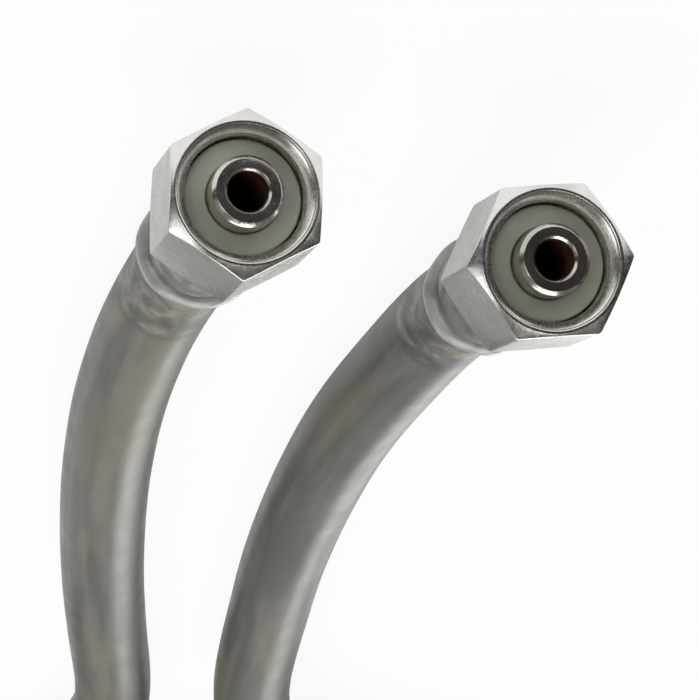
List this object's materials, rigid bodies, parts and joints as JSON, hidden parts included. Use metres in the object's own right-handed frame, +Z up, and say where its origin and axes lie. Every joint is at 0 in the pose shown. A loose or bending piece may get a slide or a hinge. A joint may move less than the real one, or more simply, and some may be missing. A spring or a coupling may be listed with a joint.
{
  "type": "ice maker supply line",
  "caption": "Flexible reinforced vinyl water line with a crimped ferrule and a hexagonal swivel compression nut on each end; its spare length lies in a tied coil.",
  "frame": {"origin": "middle of the box round the two end fittings, without the free hose, its coil and its ties; the surface that the line lies on is 11.47 mm below it", "axes": "+Z up from that surface, -Y the way the two nuts face, +X from end B towards end A, along the row of the two ends"},
  "size_m": [0.1154, 0.2766, 0.0215],
  "materials": {
    "nut": "worn nickel plate on brass",
    "seal": "pale greenish grey, matte",
    "stem": "machined and nickel plated, scratched",
    "ferrule": "satin, crimped",
    "liner": "translucent",
    "braid": "woven polyester",
    "bead": "translucent vinyl",
    "jacket": "grey translucent vinyl",
    "tie": "natural nylon"
  },
  "bodies": {
    "line": {"seal_a": "seal", "seal_b": "seal", "stem_a": "stem", "stem_b": "stem", "liner_end_a": "liner", "liner_end_b": "liner", "braid_end_a": "braid", "braid_end_b": "braid", "ferrule_a": "ferrule", "ferrule_b": "ferrule", "jacket_bead_a": "bead", "jacket_bead_b": "bead", "hose_run_a": "jacket", "hose_run_b": "jacket", "hose_coil": "jacket", "tie_1": "tie", "tie_2": "tie", "tie_3": "tie"},
    "swivel_nut_a": {"nut_a": "nut"},
    "swivel_nut_b": {"nut_b": "nut"}
  },
  "joints": [
    {"name": "nut_a_swivel", "type": "hinge", "parent": "line", "child": "swivel_nut_a", "pos_m": [0.01102, -0.0125, 0.00023], "axis": [-0.2424, -0.9373, 0.2504], "continuous": true},
    {"name": "nut_b_swivel", "type": "hinge", "parent": "line", "child": "swivel_nut_b", "pos_m": [-0.01413, -0.0071, 0.00363], "axis": [-0.2374, -0.9181, 0.3173], "continuous": true}
  ]
}
